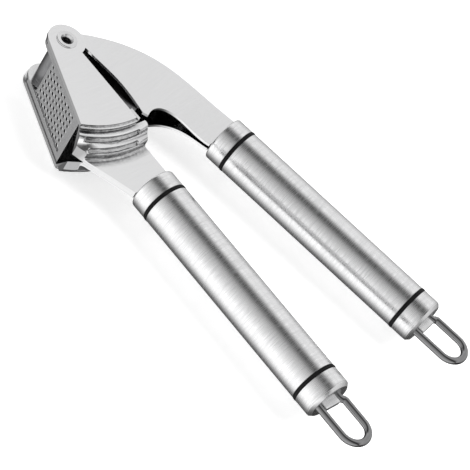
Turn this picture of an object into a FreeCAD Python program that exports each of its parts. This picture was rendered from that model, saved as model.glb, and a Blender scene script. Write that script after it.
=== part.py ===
"""Garlic press with two tube handles, lying on its side.

Frame: the origin is the middle of the hinge axis and +Z runs along that axis. +X runs along the
lower arm's grip tube towards its hanging loop, and +Y points to the upper arm. Millimetres.
"""
import FreeCAD, Part
import math
import os

from FreeCAD import Vector

# Stack of plates along the hinge, from the outside to the middle
head_half_width = 14.0
shell_sheet = 1.6
basket_sheet = 1.2
channel_sheet = 1.2
plate_gap = 0.2

# Hinge
ear_radius = 8.0
basket_ear_radius = 7.2
channel_ear_radius = 7.5
rivet_shank_radius = 3.0
rivet_bore_radius = 2.0
rivet_head_radius = 4.4
rivet_head_height = 0.5
rivet_flare_depth = 0.9
shank_seat_gap = 0.05
shank_running_gap = 0.08
spacer_wall = 1.6

# Lower arm: cheeks, ribbed shoulder and neck
sieve_angle = -21.6
front_offset = 8.0
mouth_height = 2.0
cheek_radius = 43.2
shoulder_run = 8.4
front_corner_radius = 49.0
corner_angle = -32.3
mouth_step_x = 44.4
mouth_step_height = 7.0
neck_start_x = 45.0
neck_start_drop = 19.9
neck_waist_x = 57.4
neck_waist_drop = 14.2
# Shape of the shoulder's outside: share of its slope, and rise above that slope
shoulder_ribs = [(0.045, -0.45), (0.10, 0.3), (0.16, -0.6), (0.25, 0.85),
                 (0.50, 1.0), (0.80, 0.7), (0.93, -0.5)]
# Pressed grooves: share of the slope, height of the tool's centre, its radius, first and last angle
shoulder_grooves = [(0.38, 1.45, 1.3, -28.0, 1.5), (0.68, 1.35, 1.25, -25.0, 0.5)]

# Pressing basket and sieve
basket_end_radius = 41.4
basket_mouth_height = 1.6
floor_offset = 7.6
floor_ledge = 1.4
sieve_thickness = 1.2
sieve_start = 7.5
sieve_end_gap = 0.1
hole_diameter = 1.8
hole_pitch = 2.9
hole_border = 2.2
lip_half_width = 13.8
lip_start_x = 38.6
lip_end_x = 43.9
lip_thickness = 1.2
lip_rest_gap = 0.25

# Upper arm: channel, drawn in its own frame (x along its tube), which stands at arm_rest_angle
arm_rest_angle = 9.8
closing_swing = 12.0
channel_edge_start_height = 7.3
channel_edge_end_height = 6.3
channel_parallel_x = 20.0
channel_fold_gap = 0.7
channel_corner = (40.3, 42.5, 8.0)
arch_points = [(43.4, 16.5), (46.4, 19.4), (52.5, 22.0), (60.7, 23.1)]
back_points = [(-1.0, 10.0), (7.3, 18.6), (15.1, 24.5), (24.2, 29.3), (37.3, 35.4), (45.7, 39.0),
               (55.7, 42.2)]
arch_tube_inset = 0.3

# Plunger
pad_face_gap = 0.5
pad_side_gap = 0.4
pad_end_gap = 0.4
pad_thickness = 2.6
pad_start = 9.0
bracket_sheet = 1.5
bracket_half_width = 6.4
bracket_start_x = 11.0
bracket_end_radius = 38.0
bracket_top = 17.0
pad_rivet_radius = 1.6
pad_rivet_places = (17.0, 31.0)

# Handles
grip_radius = 10.0
grip_wall = 1.4
grip_length = 109.2
grip_rounding = 0.8
lower_grip_start = 67.1
lower_grip_offset = -2.8
upper_grip_start = 66.15
upper_grip_offset = 33.8
ring_width = 1.7
ring_depth = 0.7
ring_proud = 0.15
front_ring_place = 8.4
rear_ring_place = 101.6
inside_gap = 0.1
ring_gap = 0.05
tang_length = 28.0
tang_half_height = 6.0
tang_slot_gap = 0.1
plug_start = 0.6
plug_length = 4.0
core_length = 30.0
cap_rim = 0.5
cap_chamfer = 1.3
cap_plug_length = 12.0
tongue_length = 2.5
tongue_thickness = 2.2
tongue_gap = 0.05

# Hanging loops
wire_radius = 1.5
loop_half_width = 6.5
loop_reach = 22.0
straight_leg_place = -6.5
jogged_leg_place = 4.9
leg_depth = 9.0
leg_straight = 0.2
jog_radius = 1.8

# Half-widths that follow from the stack
shell_inner = head_half_width - shell_sheet
basket_outer = shell_inner - plate_gap
basket_inner = basket_outer - basket_sheet
channel_outer = basket_inner - plate_gap
channel_inner = channel_outer - channel_sheet
channel_neck_half_width = channel_sheet + channel_fold_gap
basket_end_inner = basket_end_radius - basket_sheet
sieve_outer_offset = floor_offset - basket_sheet * 0.5
sieve_inner_offset = sieve_outer_offset - sieve_thickness
spacer_radius = rivet_shank_radius + shank_running_gap + spacer_wall
far = 400.0


def at_angle(radius, degrees, z=0.0):
    """The point at a radius and an angle about the hinge axis."""
    turn = math.radians(degrees)
    return Vector(radius * math.cos(turn), radius * math.sin(turn), z)


def flat(x, y):
    """A point of a plan outline."""
    return Vector(x, y, 0)


def line(start, end):
    """A straight edge."""
    return Part.LineSegment(start, end).toShape()


def arc(start, through, end):
    """A round edge through three points."""
    return Part.Arc(start, through, end).toShape()


def smooth(points):
    """One smooth edge through a list of points."""
    curve = Part.BSplineCurve()
    curve.interpolate(points)
    return curve.toShape()


def prism(outline, half_height):
    """The solid of a plan outline, from -half_height to +half_height."""
    face = Part.Face(outline)
    face.translate(Vector(0, 0, -half_height))
    return face.extrude(Vector(0, 0, 2 * half_height))


def disc(radius, half_height):
    """A round plate about the hinge axis."""
    return Part.makeCylinder(radius, 2 * half_height, Vector(0, 0, -half_height))


def block(x0, x1, y0, y1, half_height):
    """A box that reaches half_height to both sides of the middle plane."""
    return Part.makeBox(x1 - x0, y1 - y0, 2 * half_height, Vector(x0, y0, -half_height))


def turned(shape, degrees):
    """A copy turned about the hinge axis."""
    copy = shape.copy()
    copy.rotate(Vector(0, 0, 0), Vector(0, 0, 1), degrees)
    return copy


def far_side(shape):
    """The mirror image on the other side of the middle plane."""
    return shape.mirror(Vector(0, 0, 0), Vector(0, 0, 1))


def save(shape, node):
    """Writes one node and prints its volume."""
    shape = shape.removeSplitter()
    if len(shape.Solids) == 1:
        shape = shape.Solids[0]
    shape.exportStep("parts/" + node + ".step")
    print(node, len(shape.Solids), "solid", round(shape.Volume, 1), "mm3", shape.isValid())


# Lower arm ---------------------------------------------------------------------------------------

def shoulder_point(share, rise):
    """A point on the shoulder's outside, in the plane of radius and height."""
    drop = head_half_width - shell_sheet
    length = math.hypot(shoulder_run, drop)
    along = Vector(shoulder_run / length, 0, -drop / length)
    outward = Vector(drop / length, 0, shoulder_run / length)
    start = Vector(cheek_radius, 0, head_half_width)
    return start + along * (share * length) + outward * rise


def sheet_profile():
    """The section of one stamped half from the hinge axis out to the tang's end."""
    end = lower_grip_start + tang_length + ear_radius
    outside = [shoulder_point(0, 0)]
    outside += [shoulder_point(share, rise) for share, rise in shoulder_ribs]
    outside += [shoulder_point(1, 0)]
    inner_top = Vector(cheek_radius - shell_sheet * 0.5, 0, shell_inner)
    inner_foot = Vector(cheek_radius + shoulder_run - shell_sheet, 0, shell_sheet * 0.5)
    inner_toe = Vector(cheek_radius + shoulder_run - shell_sheet * 0.5, 0, 0)
    edges = [line(Vector(0, 0, head_half_width), outside[0]), smooth(outside),
             line(outside[-1], Vector(end, 0, shell_sheet)),
             line(Vector(end, 0, shell_sheet), Vector(end, 0, 0)),
             line(Vector(end, 0, 0), inner_toe), line(inner_toe, inner_foot),
             line(inner_foot, inner_top), line(inner_top, Vector(0, 0, shell_inner)),
             line(Vector(0, 0, shell_inner), Vector(0, 0, head_half_width))]
    return Part.Face(Part.Wire(edges))


def shell_outline():
    """The lower arm seen along the hinge: ear, front edge, shoulder corner, neck, mouth."""
    grip_low = lower_grip_offset - grip_radius
    grip_high = lower_grip_offset + grip_radius
    neck_end = lower_grip_start - inside_gap
    tang_end = lower_grip_start + tang_length
    ear_front = at_angle(front_offset, sieve_angle - 90)
    ear_mouth = flat(math.sqrt(ear_radius ** 2 - mouth_height ** 2), mouth_height)
    cheek_corner = turned_point(math.sqrt(cheek_radius ** 2 - front_offset ** 2), -front_offset)
    points = [ear_front, cheek_corner, at_angle(front_corner_radius, corner_angle),
              flat(neck_start_x, lower_grip_offset - neck_start_drop),
              flat(neck_waist_x, lower_grip_offset - neck_waist_drop),
              flat(neck_end, grip_low), flat(neck_end, lower_grip_offset - tang_half_height),
              flat(tang_end, lower_grip_offset - tang_half_height),
              flat(tang_end, lower_grip_offset + tang_half_height),
              flat(neck_end, lower_grip_offset + tang_half_height), flat(neck_end, grip_high),
              flat(mouth_step_x + shoulder_run, grip_high),
              flat(mouth_step_x, mouth_step_height), flat(mouth_step_x, mouth_height), ear_mouth]
    edges = [line(a, b) for a, b in zip(points, points[1:])]
    edges.append(arc(ear_mouth, at_angle(ear_radius, (sieve_angle + 180) / 2 + 40), ear_front))
    return Part.Wire(edges)


def turned_point(along, across):
    """A point given along and across the sieve's direction."""
    turn = math.radians(sieve_angle)
    return flat(along * math.cos(turn) - across * math.sin(turn),
                along * math.sin(turn) + across * math.cos(turn))


def groove_tool(share, height, radius, first, last):
    """A round-ended groove pressed into the shoulder along a circle about the hinge."""
    centre = shoulder_point(share, height)
    ring = Part.Face(Part.Wire(Part.makeCircle(radius, centre, Vector(0, 1, 0))))
    tool = turned(ring, first).revolve(Vector(0, 0, 0), Vector(0, 0, 1), last - first)
    for end in (first, last):
        tool = tool.fuse(Part.makeSphere(radius, at_angle(centre.x, end, centre.z)))
    return tool


def lower_shell():
    """The near half of the lower arm, one stamping."""
    sheet = sheet_profile().revolve(Vector(0, 0, 0), Vector(0, 0, 1), 360)
    shell = sheet.common(prism(shell_outline(), head_half_width + shell_sheet))
    for groove in shoulder_grooves:
        shell = shell.cut(groove_tool(*groove))
    return shell.cut(disc(rivet_shank_radius + shank_seat_gap, far))


# Basket ------------------------------------------------------------------------------------------

def sieve_block(x0, x1, offset0, offset1, half_height):
    """A box drawn along the sieve's direction, between two distances from the hinge."""
    return turned(block(x0, x1, -offset1, -offset0, half_height), sieve_angle)


def chamber_wedge(radius, outer_offset, top, half_height):
    """The space between the front edge and the mouth, out to a radius about the hinge."""
    wedge = disc(radius, half_height)
    wedge = wedge.common(sieve_block(0, far, -far, outer_offset, half_height))
    return wedge.common(block(-far, far, -far, top, half_height))


def pressing_basket():
    """Side walls with ears, a round end wall, a floor with one window, and a resting lip."""
    body = chamber_wedge(basket_end_radius, floor_offset, basket_mouth_height, basket_outer)
    body = body.fuse(disc(basket_ear_radius, basket_outer))
    inside = chamber_wedge(basket_end_inner, sieve_outer_offset, far, basket_inner)
    body = body.cut(inside)
    body = body.cut(disc(sieve_start, basket_inner))
    window_end = math.sqrt(basket_end_inner ** 2 - floor_offset ** 2) - floor_ledge
    body = body.cut(sieve_block(0, window_end, 0, far, basket_inner - floor_ledge))
    lip_low = mouth_height + lip_rest_gap
    lip_high = lip_low + lip_thickness
    lip = block(lip_start_x, lip_end_x, lip_low, lip_high, lip_half_width)
    riser = disc(basket_end_radius, basket_outer).cut(disc(basket_end_inner, basket_outer))
    riser = riser.common(block(lip_start_x, far, 0, lip_high, basket_outer))
    keep_out = disc(basket_end_inner, far)
    lip = lip.cut(keep_out.common(block(-far, far, -far, far, basket_inner)))
    body = body.fuse(lip).fuse(riser)
    return body.cut(disc(rivet_shank_radius + shank_running_gap, far))


def sieve_plate():
    """The perforated plate, with holes in staggered rows."""
    end_radius = basket_end_inner - sieve_end_gap
    plate = disc(end_radius, basket_inner)
    plate = plate.common(sieve_block(sieve_start, far, sieve_inner_offset, sieve_outer_offset,
                                     basket_inner))
    first = sieve_start + hole_border
    last = math.sqrt(end_radius ** 2 - sieve_outer_offset ** 2) - hole_border
    reach = basket_inner - hole_border
    row_step = hole_pitch * math.sqrt(3) / 2
    rows = int((last - first) / row_step)
    holes = []
    for row in range(rows + 1):
        x = first + row * row_step
        shift = (row % 2) * hole_pitch / 2
        count = int((reach - shift) / hole_pitch)
        for place in range(-count - row % 2, count + 1):
            z = place * hole_pitch + shift
            holes.append(Part.makeCylinder(hole_diameter / 2, 3 * sieve_thickness,
                                           Vector(x, -sieve_outer_offset - sieve_thickness, z),
                                           Vector(0, 1, 0)))
    return plate.cut([turned(hole, sieve_angle) for hole in holes])


# Upper arm ---------------------------------------------------------------------------------------

def channel_outline(inset=0.0):
    """The upper arm seen along the hinge, with its back and ear moved in by inset."""
    edge_start = flat(math.sqrt(channel_ear_radius ** 2 - channel_edge_start_height ** 2),
                      channel_edge_start_height)
    edge_end_x, corner_x, corner_y = channel_corner
    edge_end = flat(edge_end_x, channel_edge_end_height)
    neck_end = upper_grip_start - inside_gap
    grip_low = upper_grip_offset - grip_radius
    grip_high = upper_grip_offset + grip_radius
    tang_end = upper_grip_start + tang_length
    tang_low = upper_grip_offset - tang_half_height
    tang_high = upper_grip_offset + tang_half_height
    arch_end = flat(neck_end, grip_low + arch_tube_inset)
    arch = [flat(corner_x, corner_y)] + [flat(x, y) for x, y in arch_points] + [arch_end]
    back = [flat(x, y) for x, y in back_points] + [flat(neck_end, grip_high)]
    tangent_turn = math.degrees(math.acos(channel_ear_radius / back[0].Length))
    back_angle = math.degrees(math.atan2(back[0].y, back[0].x))
    ear_end = at_angle(channel_ear_radius, back_angle + tangent_turn)
    ends = [arch_end, flat(neck_end, tang_low), flat(tang_end, tang_low),
            flat(tang_end, tang_high), flat(neck_end, tang_high), back[-1]]
    edges = [line(edge_start, edge_end), line(edge_end, arch[0]), smooth(arch)]
    edges += [line(a, b) for a, b in zip(ends, ends[1:])]
    edges += [smooth(back[::-1]), line(back[0], ear_end),
              arc(ear_end, at_angle(channel_ear_radius, 270), edge_start)]
    return Part.Wire(edges)


def channel_width(half_width, end_half_width):
    """The arm's plan from its back: parallel at the hinge, then drawn in towards the tube."""
    start = Vector(channel_parallel_x, 0, half_width)
    end = Vector(upper_grip_start - 2, 0, end_half_width)
    reach = (end.x - start.x) * 0.4
    side = Part.BezierCurve()
    side.setPoles([start, start + Vector(reach, 0, 0), end - Vector(reach, 0, 0), end])
    tail = Vector(far, 0, end_half_width)
    head = Vector(-far, 0, half_width)
    edges = [line(head, start), side.toShape(), line(end, tail)]
    across = [edge.mirror(Vector(0, 0, 0), Vector(0, 0, 1)) for edge in edges]
    closing = [line(tail, Vector(far, 0, -end_half_width)),
               line(Vector(-far, 0, -half_width), head)]
    wire = Part.Wire(Part.__sortEdges__(edges + across + closing))
    face = Part.Face(wire)
    face.translate(Vector(0, -far, 0))
    return face.extrude(Vector(0, 2 * far, 0))


def back_wall_cut():
    """Everything below the back's inner face, so the back keeps its sheet thickness."""
    back = [flat(x, y - channel_sheet * 1.25) for x, y in back_points]
    grip_high = upper_grip_offset + grip_radius
    last = flat(upper_grip_start - inside_gap, grip_high - channel_sheet)
    low = -far
    edges = [smooth(back + [last]), line(last, flat(last.x, low)),
             line(flat(last.x, low), flat(-far, low)), line(flat(-far, low), flat(-far, back[0].y)),
             line(flat(-far, back[0].y), back[0])]
    return prism(Part.Wire(edges), far)


def upper_channel():
    """The upper arm: one sheet folded over its back, closing to a solid tang."""
    arm = prism(channel_outline(), channel_outer)
    arm = arm.common(channel_width(channel_outer, channel_neck_half_width))
    hollow = channel_width(channel_inner, channel_fold_gap)
    hollow = hollow.common(back_wall_cut())
    arm = arm.cut(hollow)
    return arm.cut(disc(rivet_shank_radius + shank_running_gap, far))


# Plunger -----------------------------------------------------------------------------------------

pad_angle = sieve_angle - (arm_rest_angle - closing_swing)
pad_low = sieve_inner_offset - pad_face_gap
pad_high = pad_low - pad_thickness
pad_end_radius = basket_end_inner - pad_end_gap


def pad_block(x0, x1, offset0, offset1, half_height):
    """A box drawn along the pad's face, between two distances from the hinge."""
    return turned(block(x0, x1, -offset1, -offset0, half_height), pad_angle)


def pad_rivets(radius, reach):
    """The two rivets that stand across the pad."""
    return [turned(Part.makeCylinder(radius, reach, Vector(x, -pad_low, 0), Vector(0, 1, 0)),
                   pad_angle) for x in pad_rivet_places]


def plunger_pad():
    """The thick plate that pushes towards the sieve."""
    half_width = basket_inner - pad_side_gap
    pad = disc(pad_end_radius, half_width)
    pad = pad.common(pad_block(pad_start, far, pad_high, pad_low, half_width))
    return pad.cut(pad_rivets(pad_rivet_radius, pad_thickness * 2))


def plunger_bracket():
    """The folded sheet between the pad and the channel's cheeks."""
    body = disc(bracket_end_radius, bracket_half_width)
    body = body.common(pad_block(0, far, -far, pad_high, far))
    body = body.common(block(bracket_start_x, far, -far, bracket_top, far))
    body = body.common(channel_width(channel_inner, channel_fold_gap))
    body = body.common(back_wall_cut())
    floor = pad_high - bracket_sheet
    body = body.cut(pad_block(-far, far, -far, floor, bracket_half_width - bracket_sheet))
    return body.cut(pad_rivets(pad_rivet_radius, pad_thickness + bracket_sheet * 2))


def rivets_in_pad():
    """Two flush rivets, one node."""
    reach = pad_thickness + bracket_sheet + 0.6
    return Part.makeCompound(pad_rivets(pad_rivet_radius - shank_seat_gap, reach))


# Hinge -------------------------------------------------------------------------------------------

def flare_cone(gap):
    """The rivet's flared end, flush with the far cheek, or with a gap the seat cut for it."""
    return Part.makeCone(rivet_shank_radius + rivet_flare_depth + gap, rivet_shank_radius + gap,
                         rivet_flare_depth, Vector(0, 0, -head_half_width))


def hinge_rivet():
    """A hollow rivet: low rolled head on one side, flush flare on the other."""
    shank = disc(rivet_shank_radius, head_half_width)
    head = Part.makeCylinder(rivet_head_radius, rivet_head_height,
                             Vector(0, 0, head_half_width))
    rim = [edge for edge in head.Edges if abs(edge.CenterOfMass.z - head_half_width
                                              - rivet_head_height) < 1e-6]
    head = head.makeFillet(rivet_head_height * 0.8, rim[:1])
    body = shank.fuse(head).fuse(flare_cone(0))
    return body.cut(disc(rivet_bore_radius, far))


def hinge_spacer():
    """The bush between the channel's cheeks."""
    bush = disc(spacer_radius, channel_inner)
    return bush.cut(disc(rivet_shank_radius + shank_running_gap, far))


# Handles, drawn with the tube's head end at x = 0 and its axis on y = 0 ---------------------------

def rod(radius, start, length):
    """A round bar along the tube's axis."""
    return Part.makeCylinder(radius, length, Vector(start, 0, 0), Vector(1, 0, 0))


def rounded_end(shape, x, radius, rounding):
    """Rounds the outer edge of a turned piece at one place along its axis."""
    rims = [edge for edge in shape.Edges if abs(edge.CenterOfMass.x - x) < 1e-6
            and edge.BoundBox.YLength > 2 * radius - 1e-3]
    return shape.makeFillet(rounding, rims[:1])


def grip_tube():
    """The brushed tube with a groove for each ring."""
    tube = rod(grip_radius, 0, grip_length)
    tube = rounded_end(tube, 0, grip_radius, grip_rounding)
    for place in (front_ring_place, rear_ring_place):
        start = place - ring_width / 2
        groove = rod(grip_radius + 1, start, ring_width)
        tube = tube.cut(groove.cut(rod(grip_radius - ring_depth, start, ring_width)))
    return tube.cut(rod(grip_radius - grip_wall, -1, grip_length + 2))


def grip_ring(place):
    """One soft ring, a little proud of the tube."""
    start = place - ring_width / 2 + ring_gap
    width = ring_width - 2 * ring_gap
    outer = grip_radius + ring_proud
    ring = rod(outer, start, width)
    rims = [edge for edge in ring.Edges if isinstance(edge.Curve, Part.Circle)]
    ring = ring.makeFillet(ring_proud * 1.6, rims)
    return ring.cut(rod(grip_radius - ring_depth + ring_gap, start - 1, width + 2))


def slotted(shape, tang_half_thickness):
    """A piece with a slot for the arm's tang."""
    slot = Part.makeBox(tang_length + 2, 2 * (tang_half_height + tang_slot_gap),
                        2 * (tang_half_thickness + tang_slot_gap),
                        Vector(-1, -tang_half_height - tang_slot_gap,
                               -tang_half_thickness - tang_slot_gap))
    return shape.cut(slot)


def front_plug(tang_half_thickness):
    """The slotted disc just inside the tube's head end."""
    return slotted(rod(grip_radius - grip_wall - inside_gap, plug_start, plug_length),
                   tang_half_thickness)


def tang_core(tang_half_thickness):
    """The core that grips the tang inside the tube."""
    start = plug_start + plug_length + inside_gap
    return slotted(rod(grip_radius - grip_wall - inside_gap, start, core_length),
                   tang_half_thickness)


def leg_tools(radius, start, length):
    """The two straight stretches where the loop's legs stand in the cap."""
    return [Part.makeCylinder(radius, length, Vector(start, place, 0), Vector(1, 0, 0))
            for place in (straight_leg_place, jogged_leg_place)]


def end_cap():
    """The turned cap with a chamfer, a flat tongue between the legs, and a plug into the tube."""
    rim_radius = grip_radius - ring_gap
    chamfer_start = grip_length + cap_rim
    face = chamfer_start + cap_chamfer
    chamfer = Part.makeCone(rim_radius, rim_radius - cap_chamfer, cap_chamfer,
                            flat(chamfer_start, 0), Vector(1, 0, 0))
    low = straight_leg_place + wire_radius + tongue_gap
    high = jogged_leg_place - wire_radius - tongue_gap
    tongue = block(face - cap_chamfer, face + tongue_length, low, high, tongue_thickness / 2)
    plug = rod(grip_radius - grip_wall - inside_gap, grip_length - cap_plug_length,
               cap_plug_length)
    cap = rod(rim_radius, grip_length, cap_rim).fuse([chamfer, tongue, plug])
    return cap.cut(leg_tools(wire_radius + ring_gap, grip_length - leg_depth,
                             leg_depth + far))


def hang_loop():
    """A round wire bent to a long loop, with one leg jogged in at the cap."""
    root = grip_length - leg_depth + inside_gap
    face = grip_length + cap_rim + cap_chamfer
    jog_start = face + leg_straight
    turn = math.acos(1 - (loop_half_width - jogged_leg_place) / (2 * jog_radius))
    jog_end = jog_start + 2 * jog_radius * math.sin(turn)
    tip = face + loop_reach - wire_radius
    bow_start = tip - loop_half_width

    def on_jog(angle):
        """A point of the jog's first arc, and its opposite on the second arc."""
        along = jog_radius * math.sin(angle)
        across = jog_radius * (1 - math.cos(angle))
        return (flat(jog_start + along, jogged_leg_place + across),
                flat(jog_end - along, loop_half_width - across))

    first_middle, second_middle = on_jog(turn / 2)
    inflection = on_jog(turn)[0]
    leg_end = flat(jog_start, jogged_leg_place)
    side_start = flat(jog_end, loop_half_width)
    bow = (flat(bow_start, loop_half_width), flat(tip, 0), flat(bow_start, -loop_half_width))
    path = [line(flat(root, jogged_leg_place), leg_end),
            arc(leg_end, first_middle, inflection), arc(inflection, second_middle, side_start),
            line(side_start, bow[0]), arc(*bow),
            line(bow[2], flat(root, straight_leg_place))]
    section = Part.Wire(Part.makeCircle(wire_radius, flat(root, jogged_leg_place),
                                        Vector(1, 0, 0)))
    return Part.Wire(path).makePipeShell([section], True, True)


def save_handle(name, start, offset, angle, tang_half_thickness):
    """Builds one handle's pieces in place."""
    pieces = {"grip_tube": grip_tube(), "front_ring": grip_ring(front_ring_place),
              "rear_ring": grip_ring(rear_ring_place),
              "front_plug": front_plug(tang_half_thickness),
              "tang_core": tang_core(tang_half_thickness), "end_cap": end_cap(),
              "hang_loop": hang_loop()}
    for piece, shape in pieces.items():
        placed = shape.copy()
        placed.translate(Vector(start, offset, 0))
        save(turned(placed, angle), name + "_" + piece)


def main():
    os.makedirs("parts", exist_ok=True)
    shell = lower_shell()
    save(shell, "lower_shell_left")
    save(far_side(shell).cut(flare_cone(shank_seat_gap)), "lower_shell_right")
    save(pressing_basket(), "pressing_basket")
    save(sieve_plate(), "sieve_plate")
    save(hinge_rivet(), "hinge_rivet")
    upper_arm = {"upper_arm_channel": upper_channel(), "plunger_pad": plunger_pad(),
                 "plunger_bracket": plunger_bracket(), "plunger_rivets": rivets_in_pad(),
                 "hinge_spacer": hinge_spacer()}
    for node, shape in upper_arm.items():
        save(turned(shape, arm_rest_angle), node)
    save_handle("lower", lower_grip_start, lower_grip_offset, 0, shell_sheet)
    save_handle("upper", upper_grip_start, upper_grip_offset, arm_rest_angle,
                channel_neck_half_width)


main()
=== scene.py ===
"""Garlic press with two brushed tube grips, lying on its side on a pale table.

Metres. The origin is the middle of the hinge, +Z runs along the hinge, and +X along the lower grip.
"""
import math

import bmesh
import bpy
from mathutils import Matrix, Vector


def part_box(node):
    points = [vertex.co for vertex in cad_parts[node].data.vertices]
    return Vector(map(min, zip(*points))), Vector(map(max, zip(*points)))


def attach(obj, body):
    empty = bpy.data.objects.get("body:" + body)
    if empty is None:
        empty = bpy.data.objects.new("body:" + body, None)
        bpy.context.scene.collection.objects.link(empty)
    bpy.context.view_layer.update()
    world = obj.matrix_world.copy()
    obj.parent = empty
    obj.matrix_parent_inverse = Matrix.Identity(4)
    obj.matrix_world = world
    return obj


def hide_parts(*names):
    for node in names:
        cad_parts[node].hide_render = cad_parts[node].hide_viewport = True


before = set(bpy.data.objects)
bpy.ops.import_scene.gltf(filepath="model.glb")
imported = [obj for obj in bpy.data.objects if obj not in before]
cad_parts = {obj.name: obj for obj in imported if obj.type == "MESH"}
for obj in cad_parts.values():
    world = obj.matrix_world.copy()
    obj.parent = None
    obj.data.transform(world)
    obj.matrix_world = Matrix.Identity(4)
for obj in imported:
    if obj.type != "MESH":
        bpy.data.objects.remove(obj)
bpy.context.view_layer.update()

MM = 0.001

# Camera
camera_place = Vector((398.0, -710.7, 757.65)) * MM
camera_right = Vector((0.6183, 0.6746, 0.4032))
camera_up = Vector((-0.7369, 0.3194, 0.5958))
camera_lens = 212.7
sensor_width = 36.0
view_limit = 20.0

# Grips
arm_angle = math.radians(9.8)
grip_wall = 1.4 * MM
ring_width = 1.7 * MM
ring_depth = 0.7 * MM
ring_places = (8.4 * MM, 101.6 * MM)
ring_gap = 0.05 * MM
ring_crown = 0.15 * MM
round_sides = 128

# Hanging loops
wire_radius = 1.5 * MM
straight_leg = -6.5 * MM
jogged_leg = 4.9 * MM
loop_half_width = 6.5 * MM
jog_radius = 1.8 * MM
jog_from_cap = 0.2 * MM
leg_depth = 8.9 * MM
cap_height = 1.8 * MM
cap_chamfer = 1.3 * MM
cap_inset = 0.05 * MM
spigot_depth = 6.0 * MM
spigot_gap = 0.1 * MM
tongue_reach = 2.5 * MM
tongue_thickness = 2.2 * MM
tongue_gap = 0.05 * MM
tongue_sink = 0.6 * MM
tongue_edge = 0.3 * MM
wire_sides = 24
leg_steps = 8
long_leg_steps = 16
bow_steps = 48
loop_reach = 22.0 * MM

# Hinge
rivet_bore = 2.0 * MM
rivet_shank = 3.0 * MM
rivet_head = 4.4 * MM
rivet_head_height = 0.5 * MM
rivet_flare = 0.9 * MM
rivet_funnel = 2.7 * MM
funnel_depth = 1.1 * MM

# Sieve
sieve_angle = math.radians(-21.6)
hole_radius = 0.9 * MM
hole_pitch = 2.9 * MM
sieve_start = 7.5 * MM
hole_border = 2.2 * MM
sieve_face = 7.0 * MM
rim_wire = 0.16 * MM
rim_steps = 20
rim_wire_sides = 6
rim_overlap = 0.01 * MM

# Edges
merge_reach = 0.002 * MM
flat_angle = math.radians(1)
round_angle = math.radians(34)
crease_angle = math.radians(35)

# Table and light
floor_height = -14.3 * MM
table_reach = 2.5
table_middle = 0.1
lamp_place = Vector((0.55, 0.45, 0.9))
lamp_aim = Vector((0.1, 0, 0))
lamp_size = 0.7
lamp_energy = 6.0

# Brightness of the studio by the angle round the X axis, in degrees from +Z towards -Y
studio_bands = [(-180, 0.14), (-138, 0.04), (-124, 0.22), (-112, 0.36), (-96, 0.60), (-62, 0.92),
                (-44, 0.82), (-34, 1.02), (-22, 0.74), (-9, 0.22), (-1, 0.08), (10, 0.08),
                (21, 0.26), (32, 0.46), (55, 0.70), (76, 0.98), (97, 1.28), (124, 1.28),
                (138, 1.02), (152, 0.60), (168, 0.28), (180, 0.14)]


# Node tools ---------------------------------------------------------------------------------------

def put(tree, kind, inputs=(), **settings):
    """Adds a node, sets it up, and fills or links its inputs."""
    made = tree.nodes.new(kind)
    for name, value in settings.items():
        setattr(made, name, value)
    for name, value in dict(inputs).items():
        socket = made.inputs[name]
        if isinstance(value, bpy.types.NodeSocket):
            tree.links.new(value, socket)
        else:
            socket.default_value = value
    return made


def sum_up(tree, operation, first, second=0.0, third=0.0, clamp=False):
    """The result of one Math node."""
    made = put(tree, "ShaderNodeMath", {0: first, 1: second, 2: third}, operation=operation,
               use_clamp=clamp)
    return made.outputs[0]


def spread(tree, value, low, high, to_low=0.0, to_high=1.0):
    """A value moved from one span to another, held at the ends."""
    made = put(tree, "ShaderNodeMapRange", {0: value, 1: low, 2: high, 3: to_low, 4: to_high})
    return made.outputs[0]


def noise(tree, vector, scale, detail=3.0, roughness=0.55, distortion=0.0):
    """The value of a noise texture."""
    made = put(tree, "ShaderNodeTexNoise", {"Vector": vector, "Scale": scale, "Detail": detail,
                                            "Roughness": roughness, "Distortion": distortion})
    return made.outputs["Fac"]


def blend_colour(tree, mask, first, second):
    """A colour between two, by a mask."""
    made = put(tree, "ShaderNodeMix", {0: mask, 6: first, 7: second}, data_type="RGBA")
    return made.outputs[2]


def scaled(tree, vector, factors):
    """A vector stretched along each axis."""
    made = put(tree, "ShaderNodeVectorMath", {0: vector, 1: factors}, operation="MULTIPLY")
    return made.outputs[0]


def new_group(name, inputs, outputs):
    """An empty shader group with named sockets, and its two ends."""
    tree = bpy.data.node_groups.new(name, "ShaderNodeTree")
    for label, kind, value in inputs:
        socket = tree.interface.new_socket(label, in_out="INPUT", socket_type="NodeSocket" + kind)
        if value is not None:
            socket.default_value = value
    for label, kind in outputs:
        tree.interface.new_socket(label, in_out="OUTPUT", socket_type="NodeSocket" + kind)
    return tree, tree.nodes.new("NodeGroupInput").outputs, tree.nodes.new("NodeGroupOutput").inputs


def place_group(tree, group, inputs):
    """One use of a group, as its outputs."""
    made = tree.nodes.new("ShaderNodeGroup")
    made.node_tree = group
    for name, value in inputs.items():
        if isinstance(value, bpy.types.NodeSocket):
            tree.links.new(value, made.inputs[name])
        else:
            made.inputs[name].default_value = value
    return made.outputs


# Shared effects -----------------------------------------------------------------------------------

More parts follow.
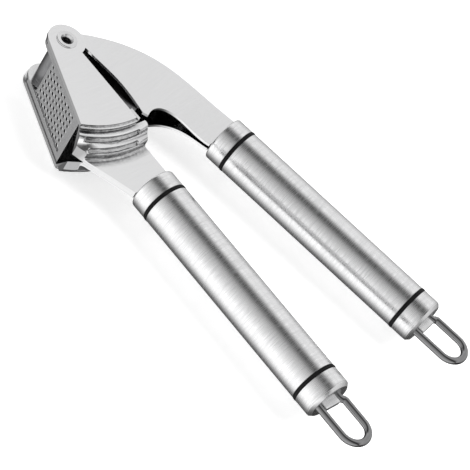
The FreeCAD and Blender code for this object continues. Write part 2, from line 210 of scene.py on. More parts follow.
def edge_wear_highlight_group():
    """Where edges are worn bright and carry a painted highlight: the mask of corners, broken up by
    a fine noise.
    """
    tree, given, result = new_group(
        "edge wear and highlight", [("Vector", "Vector", None), ("Width", "Float", 0.0003),
                     ("Strength", "Float", 4.0), ("Break Up", "Float", 0.4)],
        [("Mask", "Float")])
    rounded = put(tree, "ShaderNodeBevel", {"Radius": given["Width"]}, samples=4)
    geometry = tree.nodes.new("ShaderNodeNewGeometry")
    same = put(tree, "ShaderNodeVectorMath", {0: rounded.outputs[0], 1: geometry.outputs["Normal"]},
               operation="DOT_PRODUCT").outputs["Value"]
    corner = sum_up(tree, "SUBTRACT", 1.0, same)
    corner = sum_up(tree, "MULTIPLY", corner, given["Strength"], clamp=True)
    patches = spread(tree, noise(tree, given["Vector"], 900.0, 4.0), 0.35, 0.65)
    kept = sum_up(tree, "SUBTRACT", 1.0, sum_up(tree, "MULTIPLY", patches, given["Break Up"]))
    tree.links.new(sum_up(tree, "MULTIPLY", corner, kept), result["Mask"])
    return tree


def brush_group():
    """Fine brushed lines: long along the second direction of the vector, fine along the first."""
    tree, given, result = new_group(
        "brush lines", [("Vector", "Vector", None), ("Fine", "Float", 9000.0),
                        ("Long", "Float", 250.0)],
        [("Mask", "Float"), ("Height", "Float")])
    parts = put(tree, "ShaderNodeSeparateXYZ", {0: given["Vector"]}).outputs
    across = sum_up(tree, "MULTIPLY", parts["X"], given["Fine"])
    along = sum_up(tree, "MULTIPLY", parts["Y"], given["Long"])
    depth = sum_up(tree, "MULTIPLY", parts["Z"], given["Long"])
    stretched = put(tree, "ShaderNodeCombineXYZ", {0: across, 1: along, 2: depth}).outputs[0]
    fine = noise(tree, stretched, 1.0, 2.0, 0.7)
    broad = noise(tree, scaled(tree, stretched, (0.22, 0.6, 0.6)), 1.0, 3.0, 0.6)
    both = sum_up(tree, "ADD", sum_up(tree, "MULTIPLY", fine, 0.6),
                  sum_up(tree, "MULTIPLY", broad, 0.4))
    tree.links.new(spread(tree, both, 0.34, 0.66), result["Mask"])
    tree.links.new(both, result["Height"])
    return tree


def handling_group():
    """Smudges from handling and washing: soft patches with a finer mottle inside them."""
    tree, given, result = new_group(
        "handling smudges", [("Vector", "Vector", None), ("Size", "Float", 90.0)],
        [("Mask", "Float")])
    soft = noise(tree, given["Vector"], given["Size"], 4.0, 0.6, 0.4)
    patch = spread(tree, soft, 0.45, 0.72)
    mottle = noise(tree, given["Vector"], 2200.0, 2.0)
    mottle = spread(tree, mottle, 0.3, 0.7, 0.6, 1.0)
    tree.links.new(sum_up(tree, "MULTIPLY", patch, mottle), result["Mask"])
    return tree


def sheet_ripple_group():
    """The slight ripple of rolled and polished sheet, with a few pits."""
    tree, given, result = new_group(
        "sheet ripple", [("Vector", "Vector", None), ("Ripple", "Float", 55.0),
                         ("Pits", "Float", 0.15)],
        [("Height", "Float")])
    ripple = noise(tree, given["Vector"], given["Ripple"], 1.0, 0.4)
    fine = noise(tree, given["Vector"], 1800.0, 2.0, 0.5)
    pits = spread(tree, fine, 0.30, 0.38, -1.0, 0.0)
    total = sum_up(tree, "MULTIPLY_ADD", pits, given["Pits"], ripple)
    tree.links.new(total, result["Height"])
    return tree


def painted_corner_shade_group():
    """Painted shade deep in corners and seams, broken up by a fine mottle."""
    tree, given, result = new_group(
        "painted corner shade", [("Vector", "Vector", None), ("Reach", "Float", 0.0015)],
        [("Mask", "Float")])
    shade = put(tree, "ShaderNodeAmbientOcclusion", {"Distance": given["Reach"]}, samples=6,
                only_local=True).outputs["AO"]
    deep = spread(tree, shade, 0.96, 0.68)
    mottle = spread(tree, noise(tree, given["Vector"], 700.0, 3.0), 0.3, 0.7, 0.5, 1.0)
    tree.links.new(sum_up(tree, "MULTIPLY", deep, mottle), result["Mask"])
    return tree


edge_wear_highlight = edge_wear_highlight_group()
brush_lines = brush_group()
handling = handling_group()
sheet_ripple = sheet_ripple_group()
painted_corner_shade = painted_corner_shade_group()


# Finishes -----------------------------------------------------------------------------------------

# Colours that edges lean to: partly wear, partly a painted highlight.
white_edge_highlight = (0.95, 0.95, 0.95, 1)
grey_edge_highlight = (0.8, 0.8, 0.8, 1)
# Near black that corners and seams are painted with, as shade.
corner_shade_colour = (0.05, 0.05, 0.052, 1)
smudge_share = 0.35


def new_finish(name):
    """A material with its shader, and the coordinates of the object."""
    finish = bpy.data.materials.new(name)
    finish.use_nodes = True
    tree = finish.node_tree
    shader = tree.nodes["Principled BSDF"]
    place = tree.nodes.new("ShaderNodeTexCoord").outputs
    return finish, tree, shader, place


def cool_grey(level):
    """A grey with a trace of blue."""
    return level, level, level + 0.005, 1


def bump(tree, shader, height, depth):
    """Lets a height turn the shader's normal."""
    made = put(tree, "ShaderNodeBump", {"Height": height, "Distance": depth, "Strength": 1.0})
    tree.links.new(made.outputs[0], shader.inputs["Normal"])


def steel_finish(name, bright, dull, smooth, worn, lines, turn=0.0, around=False, rub=white_edge_highlight,
                 ripple=0.02 * MM, dark=0.5, reach=1.5 * MM):
    """Stainless steel, from mirror polish to a brushed or satin face.

    bright and dull are the levels of its two greys, smooth and worn its roughness where clean and
    where handled. lines are the brush's depth, fineness and length; turn points them along an
    arm, and around takes them round a turned piece, by its own map. dark and reach say how much
    shade is painted into corners, and how wide. rub is the colour edges lean to, partly wear and
    partly a painted highlight.
    """
    finish, tree, shader, place = new_finish(name)
    shader.inputs["Metallic"].default_value = 1.0
    where = place["Object"]
    if around:
        swapped = put(tree, "ShaderNodeSeparateXYZ", {0: place["UV"]}).outputs
        lay = put(tree, "ShaderNodeCombineXYZ", {0: swapped["Y"], 1: swapped["X"]}).outputs[0]
    else:
        lay = put(tree, "ShaderNodeMapping",
                  {"Vector": where, "Rotation": (0, 0, -turn)}).outputs[0]
    depth, fine, length = lines
    brushed = place_group(tree, brush_lines, {"Vector": lay, "Fine": fine, "Long": length})
    smudge = place_group(tree, handling, {"Vector": where})["Mask"]
    worn_lit_edge = place_group(tree, edge_wear_highlight, {"Vector": where})["Mask"]
    corner_shade_mask = place_group(tree, painted_corner_shade, {"Vector": where, "Reach": reach})["Mask"]
    wave = place_group(tree, sheet_ripple, {"Vector": where})["Height"]
    dull_grey = cool_grey(dull)
    colour = blend_colour(tree, brushed["Mask"], cool_grey(bright), dull_grey)
    colour = blend_colour(tree, sum_up(tree, "MULTIPLY", smudge, smudge_share), colour, dull_grey)
    # Painted shade: corners and seams darken towards near black.
    colour = blend_colour(tree, sum_up(tree, "MULTIPLY", corner_shade_mask, dark), colour, corner_shade_colour)
    # Edges lean to the rub colour: partly worn edges, partly a painted highlight.
    colour = blend_colour(tree, worn_lit_edge, colour, rub)
    tree.links.new(colour, shader.inputs["Base Color"])
    gloss = spread(tree, smudge, 0.0, 1.0, smooth, worn)
    gloss = sum_up(tree, "MULTIPLY_ADD", brushed["Mask"], depth * 0.5, gloss)
    tree.links.new(gloss, shader.inputs["Roughness"])
    height = sum_up(tree, "MULTIPLY_ADD", brushed["Height"], depth, wave)
    bump(tree, shader, height, ripple)
    return finish


def wire_finish(name):
    """Drawn wire with a deep, clear polish, its base colour kept dark as a painted dark reflection.
    """
    finish, tree, shader, place = new_finish(name)
    shader.inputs["Metallic"].default_value = 1.0
    swapped = put(tree, "ShaderNodeSeparateXYZ", {0: place["UV"]}).outputs
    lay = put(tree, "ShaderNodeCombineXYZ", {0: swapped["X"], 1: swapped["Y"]}).outputs[0]
    drawn = place_group(tree, brush_lines, {"Vector": lay, "Fine": 5200.0, "Long": 90.0})
    smudge = place_group(tree, handling, {"Vector": place["Object"], "Size": 180.0})["Mask"]
    # Painted reflection: the dark greys stand in for the dark surroundings the wire reflects.
    colour = blend_colour(tree, drawn["Mask"], (0.24, 0.24, 0.245, 1), (0.15, 0.15, 0.153, 1))
    tree.links.new(colour, shader.inputs["Base Color"])
    tree.links.new(spread(tree, smudge, 0.0, 1.0, 0.05, 0.13), shader.inputs["Roughness"])
    shader.inputs["Coat Weight"].default_value = 1.0
    shader.inputs["Coat Roughness"].default_value = 0.03
    shader.inputs["Coat IOR"].default_value = 1.8
    bump(tree, shader, drawn["Height"], 0.006 * MM)
    return finish


def rubber_finish(name):
    """Matt black rubber with a moulded grain."""
    finish, tree, shader, place = new_finish(name)
    grain = noise(tree, place["Object"], 6000.0, 3.0, 0.6)
    smudge = place_group(tree, handling, {"Vector": place["Object"], "Size": 260.0})["Mask"]
    worn_lit_edge = place_group(tree, edge_wear_highlight, {"Vector": place["Object"], "Width": 0.2 * MM})["Mask"]
    colour = blend_colour(tree, smudge, (0.004, 0.004, 0.0045, 1), (0.011, 0.0105, 0.01, 1))
    # Edges lighten a little: partly wear, partly a painted highlight.
    colour = blend_colour(tree, worn_lit_edge, colour, (0.02, 0.02, 0.02, 1))
    tree.links.new(colour, shader.inputs["Base Color"])
    shader.inputs["Specular IOR Level"].default_value = 0.22
    tree.links.new(spread(tree, grain, 0.3, 0.7, 0.52, 0.78), shader.inputs["Roughness"])
    bump(tree, shader, grain, 0.03 * MM)
    return finish


def core_finish(name):
    """Dark moulded plastic with fine spark grain."""
    finish, tree, shader, place = new_finish(name)
    grain = noise(tree, place["Object"], 3200.0, 4.0, 0.65)
    smudge = place_group(tree, handling, {"Vector": place["Object"]})["Mask"]
    colour = blend_colour(tree, smudge, (0.045, 0.045, 0.048, 1), (0.075, 0.074, 0.072, 1))
    tree.links.new(colour, shader.inputs["Base Color"])
    tree.links.new(spread(tree, grain, 0.3, 0.7, 0.42, 0.60), shader.inputs["Roughness"])
    bump(tree, shader, grain, 0.04 * MM)
    return finish


def table_finish(name):
    """The pale table: almost white, with a barely seen mottle."""
    finish, tree, shader, place = new_finish(name)
    mottle = noise(tree, place["Object"], 18.0, 4.0)
    colour = blend_colour(tree, mottle, (0.93, 0.93, 0.93, 1), (0.96, 0.96, 0.96, 1))
    tree.links.new(colour, shader.inputs["Base Color"])
    shader.inputs["Roughness"].default_value = 0.9
    shader.inputs["Specular IOR Level"].default_value = 0.1
    shader.inputs["Emission Color"].default_value = (1.0, 1.0, 1.0, 1.0)
    shader.inputs["Emission Strength"].default_value = 0.58
    return finish


# dark and reach set the painted shade in each finish's corners; the wide reaches on the folded arm
# and the basket paint their insides dark as shade.
polished = steel_finish("polished sheet", 0.86, 0.82, 0.10, 0.16, (0.02, 5200.0, 120.0),
                        dark=0.98, reach=4.5 * MM)
polished_arm = steel_finish("polished folded sheet", 0.85, 0.81, 0.10, 0.16, (0.02, 5200.0, 120.0),
                            turn=arm_angle, dark=0.95, reach=20 * MM)
basket_steel = steel_finish("polished basket", 0.80, 0.68, 0.13, 0.24, (0.08, 4200.0, 160.0),
                            turn=sieve_angle, dark=0.75, reach=6 * MM)
# Painted shade: the plunger's steel is made dark so that it reads as the shade between the sheets.
shade_dark_steel = steel_finish("plain satin steel", 0.30, 0.20, 0.26, 0.38, (0.25, 3600.0, 240.0),
                           turn=arm_angle, rub=grey_edge_highlight, dark=0.9, reach=12 * MM)
brushed_grip = steel_finish("brushed grip", 0.95, 0.74, 0.13, 0.18, (0.50, 4600.0, 130.0),
                            around=True, ripple=0.007 * MM)
satin_cap = steel_finish("turned satin cap", 0.84, 0.66, 0.15, 0.22, (0.40, 4600.0, 130.0),
                         around=True)
satin_plate = steel_finish("satin plate", 0.80, 0.66, 0.18, 0.28, (0.25, 4200.0, 200.0))
satin_plate_turned = steel_finish("satin plate of the upper arm", 0.80, 0.66, 0.18, 0.28,
                                  (0.25, 4200.0, 200.0), turn=arm_angle)
bright_wire = wire_finish("polished wire darkened for reflection")
black_ring = rubber_finish("black rubber")
core_plastic = core_finish("dark moulded core")


# Shapes -------------------------------------------------------------------------------------------

def new_piece(name, mesh, finish, body, slot, *nodes):
    """Shows a finished mesh, rides it on its body and lets it stand for its CAD nodes."""
    mesh.materials.clear()
    mesh.materials.append(finish)
    piece = bpy.data.objects.new(name, mesh)
    bpy.context.scene.collection.objects.link(piece)
    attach(piece, body)
    if nodes:
        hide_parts(*nodes)
    return piece


def rounded_outline(points, radii, steps=4):
    """A closed outline with an arc at each corner; a radius of 0 leaves the corner sharp."""
    result = []
    for place, (corner, radius) in enumerate(zip(points, radii)):
        here = Vector(corner)
        back = (Vector(points[place - 1]) - here).normalized()
        on = (Vector(points[(place + 1) % len(points)]) - here).normalized()
        half = back.angle(on) / 2
        if radius <= 0:
            result.append(here)
            continue
        reach = radius / math.tan(half)
        middle = here + (back + on).normalized() * (radius / math.sin(half))
        first = here + back * reach - middle
        last = here + on * reach - middle
        sweep = math.pi - 2 * half
        for step in range(steps + 1):
            share = step / steps
            turned = first * math.sin((1 - share) * sweep) + last * math.sin(share * sweep)
            result.append(middle + turned / math.sin(sweep))
    return result


def turned_mesh(name, outline, move):
    """A closed turned solid. The outline holds (along, radius); the map runs round and along."""
    shape = bmesh.new()
    map_layer = shape.loops.layers.uv.new("UVMap")
    rings = []
    for side in range(round_sides):
        angle = 2 * math.pi * side / round_sides - math.pi / 2
        rings.append([shape.verts.new((along, radius * math.cos(angle), radius * math.sin(angle)))
                      for along, radius in outline])
    count = len(outline)
    run = [0.0]
    for place in range(count):
        run.append(run[-1] + (outline[(place + 1) % count] - outline[place]).length)
    width = 2 * math.pi * max(radius for along, radius in outline)
    for side in range(round_sides):
        here, there = rings[side], rings[(side + 1) % round_sides]
        for place in range(count):
            after = (place + 1) % count
            face = shape.faces.new((here[place], there[place], there[after], here[after]))
            face.smooth = True
            spots = [(side, place), (side + 1, place), (side + 1, place + 1), (side, place + 1)]
            for loop, (turn, row) in zip(face.loops, spots):
                loop[map_layer].uv = (turn / round_sides * width, run[row])
    return close_mesh(name, shape, move)


def wire_mesh(name, path, radius, move):
    """A round wire along a flat path with closed ends; the map runs round and along."""
    shape = bmesh.new()
    map_layer = shape.loops.layers.uv.new("UVMap")
    rings = []
    run = [0.0]
    for place, point in enumerate(path):
        before = path[max(place - 1, 0)]
        after = path[min(place + 1, len(path) - 1)]
        along = (after - before).normalized()
        across = Vector((-along.y, along.x, 0))
        ring = []
        for side in range(wire_sides):
            angle = 2 * math.pi * side / wire_sides - math.pi / 2
            spot = point + across * (radius * math.cos(angle))
            ring.append(shape.verts.new(spot + Vector((0, 0, radius * math.sin(angle)))))
        rings.append(ring)
        if place:
            run.append(run[-1] + (point - path[place - 1]).length)
    for row in range(len(path) - 1):
        for side in range(wire_sides):
            after = (side + 1) % wire_sides
            face = shape.faces.new((rings[row][side], rings[row + 1][side],
                                    rings[row + 1][after], rings[row][after]))
            face.smooth = True
            spots = [(side, row), (side, row + 1), (side + 1, row + 1), (side + 1, row)]
            for loop, (turn, place) in zip(face.loops, spots):
                loop[map_layer].uv = (turn / wire_sides * 2 * math.pi * radius, run[place])
    shape.faces.new(rings[0])
    shape.faces.new(rings[-1][::-1])
    return close_mesh(name, shape, move)


def close_mesh(name, shape, move):
    """Merges doubles, points the faces outwards, moves the shape into place and makes its mesh."""
    bmesh.ops.remove_doubles(shape, verts=shape.verts, dist=1e-8)
    bmesh.ops.recalc_face_normals(shape, faces=shape.faces)
    shape.transform(move)
    mesh = bpy.data.meshes.new(name)
    shape.to_mesh(mesh)
    shape.free()
    mesh.set_sharp_from_angle(angle=crease_angle)
    return mesh


def soft_edged(node, name, width):
    """A merged copy of a CAD node with a small round along every sharp edge."""
    shape = bmesh.new()
    shape.from_mesh(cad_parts[node].data)
    bmesh.ops.remove_doubles(shape, verts=shape.verts, dist=merge_reach)
    bmesh.ops.dissolve_limit(shape, angle_limit=flat_angle, verts=shape.verts, edges=shape.edges)
    for face in shape.faces:
        face.smooth = True
    mesh = bpy.data.meshes.new(name)
    shape.to_mesh(mesh)
    shape.free()
    mesh.materials.clear()
    holder = bpy.data.objects.new(name + "_draft", mesh)
    bpy.context.scene.collection.objects.link(holder)
    edge = holder.modifiers.new("round", "BEVEL")
    edge.width = width
    edge.segments = 2
    edge.limit_method = "ANGLE"
    edge.angle_limit = round_angle
    edge.use_clamp_overlap = True
    edge.miter_outer = "MITER_ARC"
    edge.harden_normals = False
    flat = holder.modifiers.new("weigh", "WEIGHTED_NORMAL")
    flat.keep_sharp = True
    ready = bpy.context.evaluated_depsgraph_get()
    result = bpy.data.meshes.new_from_object(holder.evaluated_get(ready), depsgraph=ready)
    result.name = name
    bpy.data.objects.remove(holder)
    return result


def between(first, last, steps):
    """Evenly spaced numbers, both ends included."""
    return [first + (last - first) * step / steps for step in range(steps + 1)]


def arc_points(middle, radius, first, last, steps):
    """Points of a flat arc."""
    return [middle + Vector((radius * math.cos(angle), radius * math.sin(angle), 0))
            for angle in between(first, last, steps)]


# Grips, rings and loops ---------------------------------------------------------------------------

def handle_place(node, angle):
    """The radius and length of a grip tube, and the move from its own frame into place."""
    low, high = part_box(node)
    radius = (high.z - low.z) / 2
    middle = (low + high) / 2
    reach_x = high.x - low.x
    length = (reach_x - 2 * radius * math.sin(angle)) / math.cos(angle)
    turn = Matrix.Rotation(angle, 4, "Z")
    start = middle - turn @ Vector((length / 2, 0, 0))
    return radius, length, Matrix.Translation(start) @ turn


def grip_outline(radius, length):
    """The section of a tube with two ring grooves."""
    outer, inner = radius, radius - grip_wall
    floor = radius - ring_depth
    corners = [(0, inner), (0, outer)]
    rounds = [0.2, 0.8]
    for place in ring_places:
        low, high = place - ring_width / 2, place + ring_width / 2
        corners += [(low, outer), (low, floor), (high, floor), (high, outer)]
        rounds += [0.12, 0.08, 0.08, 0.12]
    corners += [(length, outer), (length, inner)]
    rounds += [0.15, 0.2]
    return rounded_outline(corners, [value * MM for value in rounds])


def ring_outline(place, radius):
    """The section of one rubber ring, crowned and a little proud."""
    half = ring_width / 2 - ring_gap
    low = radius - ring_depth + ring_gap
    top = radius + ring_crown
    corners = [(place - half, low), (place - half, top), (place + half, top), (place + half, low)]
    return rounded_outline(corners, [0.1 * MM, 0.4 * MM, 0.4 * MM, 0.1 * MM])


def loop_path(length):
    """The wire's middle line in the handle's own frame."""
    root = length - leg_depth
    face = length + cap_height
    jog_start = face + jog_from_cap
    turn = math.acos(1 - (loop_half_width - jogged_leg) / (2 * jog_radius))
    jog_end = jog_start + 2 * jog_radius * math.sin(turn)
    bow_start = face + loop_reach - wire_radius - loop_half_width
    quarter = math.pi / 2
    path = [Vector((x, jogged_leg, 0)) for x in between(root, jog_start, leg_steps)]
    path += arc_points(Vector((jog_start, jogged_leg + jog_radius, 0)), jog_radius, -quarter,
                       turn - quarter, leg_steps)[1:]
    path += arc_points(Vector((jog_end, loop_half_width - jog_radius, 0)), jog_radius,
                       turn + quarter, quarter, leg_steps)[1:]
    path += [Vector((x, loop_half_width, 0)) for x in between(jog_end, bow_start, leg_steps)][1:]
    path += arc_points(Vector((bow_start, 0, 0)), loop_half_width, quarter, -quarter,
                       bow_steps)[1:]
    path += [Vector((x, straight_leg, 0)) for x in between(bow_start, root, long_leg_steps)][1:]
    return path


def cap_outline(radius, length):
    """The section of the end cap: a short rim, a chamfer, a flat face and a spigot."""
    rim = radius - cap_inset
    face = length + cap_height
    spigot = radius - grip_wall - spigot_gap
    inner = length - spigot_depth
    corners = [(inner, 0), (inner, spigot), (length, spigot), (length, rim),
               (face - cap_chamfer, rim), (face, rim - cap_chamfer), (face, 0)]
    rounds = [0.0, 0.3, 0.0, 0.08, 0.25, 0.25, 0.0]
    return rounded_outline(corners, [value * MM for value in rounds])


def tongue_mesh(name, length, move):
    """The flat tongue that fills the room between the loop's legs at the cap."""
    low = straight_leg + wire_radius + tongue_gap
    high = jogged_leg - wire_radius - tongue_gap
    start = length + cap_height - tongue_sink
    end = length + cap_height + tongue_reach
    shape = bmesh.new()
    bmesh.ops.create_cube(shape, size=1.0)
    bmesh.ops.scale(shape, vec=(end - start, high - low, tongue_thickness), verts=shape.verts)
    bmesh.ops.translate(shape, vec=((start + end) / 2, (low + high) / 2, 0), verts=shape.verts)
    bmesh.ops.bevel(shape, geom=shape.edges[:], offset=tongue_edge, segments=4, profile=0.5,
                    affect="EDGES")
    for face in shape.faces:
        face.smooth = True
    return close_mesh(name, shape, move)


def make_handle(side, body, angle, tongue):
    """One grip tube with its rings, cap and loop."""
    tube_node = side + "_grip_tube"
    radius, length, move = handle_place(tube_node, angle)
    new_piece(side + "_grip", turned_mesh(side + "_grip", grip_outline(radius, length), move),
              brushed_grip, body, "brushed_grip", tube_node)
    for label, place in zip(("front", "rear"), ring_places):
        name = side + "_" + label + "_rubber_ring"
        new_piece(name, turned_mesh(name, ring_outline(place, radius), move), black_ring, body,
                  "black_ring", side + "_" + label + "_ring")
    name = side + "_wire_loop"
    new_piece(name, wire_mesh(name, loop_path(length), wire_radius, move), bright_wire, body,
              "bright_wire", side + "_hang_loop")
    name = side + "_turned_cap"
    new_piece(name, turned_mesh(name, cap_outline(radius, length), move), satin_cap, body,
              "satin_cap", side + "_end_cap")
    name = side + "_cap_tongue"
    new_piece(name, tongue_mesh(name, length, move), tongue, body, "satin_cap")


make_handle("lower", "lower_arm", 0.0, satin_plate)
make_handle("upper", "upper_arm", arm_angle, satin_plate_turned)


# Hinge --------------------------------------------------------------------------------------------

def make_rivet():
    """The hollow rivet: low rolled head on top, flush flare below."""
    low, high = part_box("hinge_rivet")
    top = high.z - rivet_head_height
    corners = [(low.z, rivet_bore), (low.z, rivet_shank + rivet_flare),
               (low.z + rivet_flare, rivet_shank), (top, rivet_shank), (top, rivet_head),
               (high.z, rivet_head), (high.z, rivet_funnel), (high.z - funnel_depth, rivet_bore)]
    rounds = [0.4, 0.1, 0.1, 0.0, 0.05, 0.42, 0.12, 0.3]
    outline = rounded_outline(corners, [value * MM for value in rounds], 6)
    stand = Matrix.Rotation(-math.pi / 2, 4, "Y")
    new_piece("hollow_rivet", turned_mesh("hollow_rivet", outline, stand), satin_cap, "lower_arm",
              "polished_steel", "hinge_rivet")


make_rivet()


# Pressed sheet ------------------------------------------------------------------------------------

def make_sheet_pieces():
    """Every folded or stamped piece, with its edges softened."""
    plan = [("lower_shell_left", "near_cheek", "lower_arm", polished, "polished_steel", 0.22),
            ("lower_shell_right", "far_cheek", "lower_arm", polished, "polished_steel", 0.22),
            ("pressing_basket", "garlic_basket", "basket", basket_steel, "basket_steel", 0.18),
            ("upper_arm_channel", "folded_arm", "upper_arm", polished_arm, "polished_steel", 0.22),
            ("plunger_bracket", "plunger_carrier", "upper_arm", shade_dark_steel, "plunger_steel", 0.15),
            ("plunger_pad", "plunger_plate", "upper_arm", shade_dark_steel, "plunger_steel", 0.25)]
    for node, name, body, finish, slot, width in plan:
        new_piece(name, soft_edged(node, name, width * MM), finish, body, slot, node)


make_sheet_pieces()

# The plunger rivets and the hinge spacer take the dark steel as painted shade.
carried = {"sieve_plate": basket_steel, "plunger_rivets": shade_dark_steel, "hinge_spacer": shade_dark_steel,
           "lower_front_plug": satin_plate, "upper_front_plug": satin_plate_turned,
           "lower_tang_core": core_plastic, "upper_tang_core": core_plastic}
for node, finish in carried.items():
    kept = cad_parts[node].data
    kept.materials.clear()
    kept.materials.append(finish)


# Rims of the sieve's holes ------------------------------------------------------------------------

def rim_tree():
    """Small rolled rims on a staggered field of holes, cut off at the plate's round end."""
    tree = bpy.data.node_groups.new("sieve rims", "GeometryNodeTree")
    face = tree.interface
    for label, kind, value in (("Pitch", "Float", hole_pitch), ("Rows", "Int", 8),
                               ("Columns", "Int", 7), ("Hole Radius", "Float", hole_radius),
                               ("Wire", "Float", rim_wire), ("Start", "Float", 0.01),
                               ("Side Reach", "Float", 0.008), ("End Reach", "Float", 0.038)):
        socket = face.new_socket(label, in_out="INPUT", socket_type="NodeSocket" + kind)
        socket.default_value = value
    face.new_socket("Finish", in_out="INPUT", socket_type="NodeSocketMaterial")
    face.new_socket("Geometry", in_out="OUTPUT", socket_type="NodeSocketGeometry")
    given = tree.nodes.new("NodeGroupInput").outputs
    result = tree.nodes.new("NodeGroupOutput").inputs
    row_step = sum_up(tree, "MULTIPLY", given["Pitch"], math.sqrt(3))
    half_row = sum_up(tree, "MULTIPLY", row_step, 0.5)
    half_pitch = sum_up(tree, "MULTIPLY", given["Pitch"], 0.5)
    fields = []
    for shift_x, shift_z in ((0.0, 0.0), (half_row, half_pitch)):
        long_side = sum_up(tree, "MULTIPLY", row_step, sum_up(tree, "SUBTRACT", given["Rows"], 1))
        wide_side = sum_up(tree, "MULTIPLY", given["Pitch"],
                           sum_up(tree, "SUBTRACT", given["Columns"], 1))
        grid = put(tree, "GeometryNodeMeshGrid", {"Size X": long_side, "Size Y": wide_side,
                                                  "Vertices X": given["Rows"],
                                                  "Vertices Y": given["Columns"]}).outputs["Mesh"]
        along = sum_up(tree, "MULTIPLY_ADD", long_side, 0.5, given["Start"])
        move = put(tree, "ShaderNodeCombineXYZ", {0: sum_up(tree, "ADD", along, shift_x),
                                                  1: shift_z}).outputs[0]
        fields.append(put(tree, "GeometryNodeTransform", {"Geometry": grid,
                                                          "Translation": move}).outputs[0])
    joined = tree.nodes.new("GeometryNodeJoinGeometry")
    for field in fields:
        tree.links.new(field, joined.inputs[0])
    points = put(tree, "GeometryNodeMeshToPoints", {"Mesh": joined.outputs[0]}).outputs[0]
    spot = put(tree, "ShaderNodeSeparateXYZ",
               {0: tree.nodes.new("GeometryNodeInputPosition").outputs[0]}).outputs
    wide = put(tree, "FunctionNodeCompare", {0: sum_up(tree, "ABSOLUTE", spot["Y"]),
                                             1: given["Side Reach"]},
               operation="GREATER_THAN").outputs[0]
    distant = put(tree, "FunctionNodeCompare", {0: spot["X"], 1: given["End Reach"]},
                  operation="GREATER_THAN").outputs[0]
    outside = put(tree, "FunctionNodeBooleanMath", {0: wide, 1: distant},
                  operation="OR").outputs[0]
    points = put(tree, "GeometryNodeDeleteGeometry", {"Geometry": points,
                                                      "Selection": outside}).outputs[0]
    rim = put(tree, "GeometryNodeCurvePrimitiveCircle", {"Resolution": rim_steps,
                                                         "Radius": given["Hole Radius"]})
    section = put(tree, "GeometryNodeCurvePrimitiveCircle", {"Resolution": rim_wire_sides,
                                                             "Radius": given["Wire"]})
    ring = put(tree, "GeometryNodeCurveToMesh", {"Curve": rim.outputs[0],
                                                 "Profile Curve": section.outputs[0]}).outputs[0]
    placed = put(tree, "GeometryNodeInstanceOnPoints", {"Points": points,
                                                        "Instance": ring}).outputs[0]
    real = put(tree, "GeometryNodeRealizeInstances", {"Geometry": placed}).outputs[0]
    smooth = put(tree, "GeometryNodeSetShadeSmooth", {"Geometry": real}).outputs[0]
    done = put(tree, "GeometryNodeSetMaterial", {"Geometry": smooth,
                                                 "Material": given["Finish"]}).outputs[0]
    tree.links.new(done, result[0])
    return tree


def grown(name, tree, values):
    """The plain mesh that a tree makes with these values."""
    holder = bpy.data.objects.new(name + "_draft", bpy.data.meshes.new(name + "_draft"))
    bpy.context.scene.collection.objects.link(holder)
    change = holder.modifiers.new("grow", "NODES")
    change.node_group = tree
    for item in tree.interface.items_tree:
        if item.item_type == "SOCKET" and item.in_out == "INPUT" and item.name in values:
            change[item.identifier] = values[item.name]
    ready = bpy.context.evaluated_depsgraph_get()
    mesh = bpy.data.meshes.new_from_object(holder.evaluated_get(ready), depsgraph=ready)
    mesh.name = name
    bpy.data.objects.remove(holder)
    return mesh


def make_sieve_rims():
    """Lays the rims on the outside of the sieve."""
    low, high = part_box("sieve_plate")
    side_reach = high.z - hole_border + rim_overlap
    turn = Matrix.Rotation(sieve_angle, 4, "Z")
    far_end = high.x / math.cos(sieve_angle)
    columns = 2 * int(side_reach / hole_pitch) + 1
    mesh = grown("sieve_hole_rims", rim_tree(),
                 {"Columns": columns, "Start": sieve_start + hole_border,
                  "Side Reach": side_reach, "End Reach": far_end - hole_border,
                  "Finish": basket_steel})
    lay = Matrix(((1, 0, 0, 0), (0, 0, 1, -sieve_face), (0, 1, 0, 0), (0, 0, 0, 1)))
    mesh.transform(turn @ lay)
    mesh.flip_normals()
    new_piece("sieve_hole_rims", mesh, basket_steel, "basket", "basket_steel")


make_sieve_rims()


# Table, light and camera --------------------------------------------------------------------------

def make_table():
    """A wide pale table just under the press."""
    shape = bmesh.new()
    bmesh.ops.create_grid(shape, x_segments=2, y_segments=2, size=table_reach)
    mesh = bpy.data.meshes.new("table")
    shape.to_mesh(mesh)
    shape.free()
    mesh.transform(Matrix.Translation((table_middle, 0.0, floor_height)))
    mesh.materials.append(table_finish("pale table"))
    table = bpy.data.objects.new("table", mesh)
    bpy.context.scene.collection.objects.link(table)
    table.visible_glossy = False


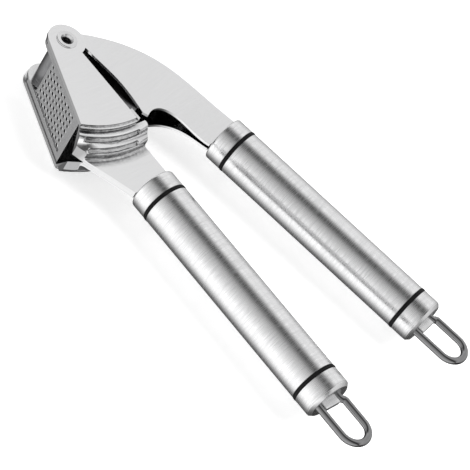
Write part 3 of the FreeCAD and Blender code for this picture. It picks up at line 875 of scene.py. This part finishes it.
def make_surroundings():
    """A studio round the press: light and dark bands that run along the grips."""
    world = bpy.data.worlds.new("studio")
    world.use_nodes = True
    tree = world.node_tree
    tree.nodes.clear()
    way = put(tree, "ShaderNodeSeparateXYZ",
              {0: tree.nodes.new("ShaderNodeTexCoord").outputs["Generated"]}).outputs
    forward = sum_up(tree, "MULTIPLY", way["Y"], -1.0)
    turn = sum_up(tree, "ARCTAN2", forward, way["Z"])
    share = spread(tree, turn, -math.pi, math.pi)
    ramp = tree.nodes.new("ShaderNodeValToRGB")
    tree.links.new(share, ramp.inputs[0])
    stops = ramp.color_ramp.elements
    while len(stops) > 1:
        stops.remove(stops[-1])
    for place, (angle, level) in enumerate(studio_bands):
        position = (angle + 180) / 360
        stop = stops[0] if place == 0 else stops.new(position)
        stop.position = position
        stop.color = (level, level, level, 1)
    seen = put(tree, "ShaderNodeBackground", {"Color": (1, 1, 1, 1), "Strength": 1.0})
    lit = put(tree, "ShaderNodeBackground", {"Color": ramp.outputs[0], "Strength": 1.0})
    ray = tree.nodes.new("ShaderNodeLightPath").outputs["Is Camera Ray"]
    both = put(tree, "ShaderNodeMixShader", {0: ray, 1: lit.outputs[0], 2: seen.outputs[0]})
    output = tree.nodes.new("ShaderNodeOutputWorld")
    tree.links.new(both.outputs[0], output.inputs[0])
    bpy.context.scene.world = world


def make_light():
    """One large soft light from behind and to the right."""
    lamp = bpy.data.lights.new("soft box", "AREA")
    lamp.shape = "DISK"
    lamp.size = lamp_size
    lamp.energy = lamp_energy
    light = bpy.data.objects.new("soft_box", lamp)
    bpy.context.scene.collection.objects.link(light)
    light.location = lamp_place
    light.rotation_euler = (lamp_aim - lamp_place).to_track_quat("-Z", "Y").to_euler()
    light.visible_glossy = False


def make_camera():
    """The camera, a little rolled, looking down across the grips."""
    back = camera_right.cross(camera_up).normalized()
    up = back.cross(camera_right).normalized()
    right = up.cross(back)
    camera = bpy.data.objects.new("camera", bpy.data.cameras.new("camera"))
    bpy.context.scene.collection.objects.link(camera)
    camera.data.lens = camera_lens
    camera.data.sensor_width = sensor_width
    camera.data.clip_end = view_limit
    camera.matrix_world = Matrix.Translation(camera_place) @ Matrix(
        (right, up, back)).transposed().to_4x4()
    bpy.context.scene.camera = camera


make_table()
make_surroundings()
make_light()
make_camera()
bpy.context.scene.view_settings.view_transform = "Standard"
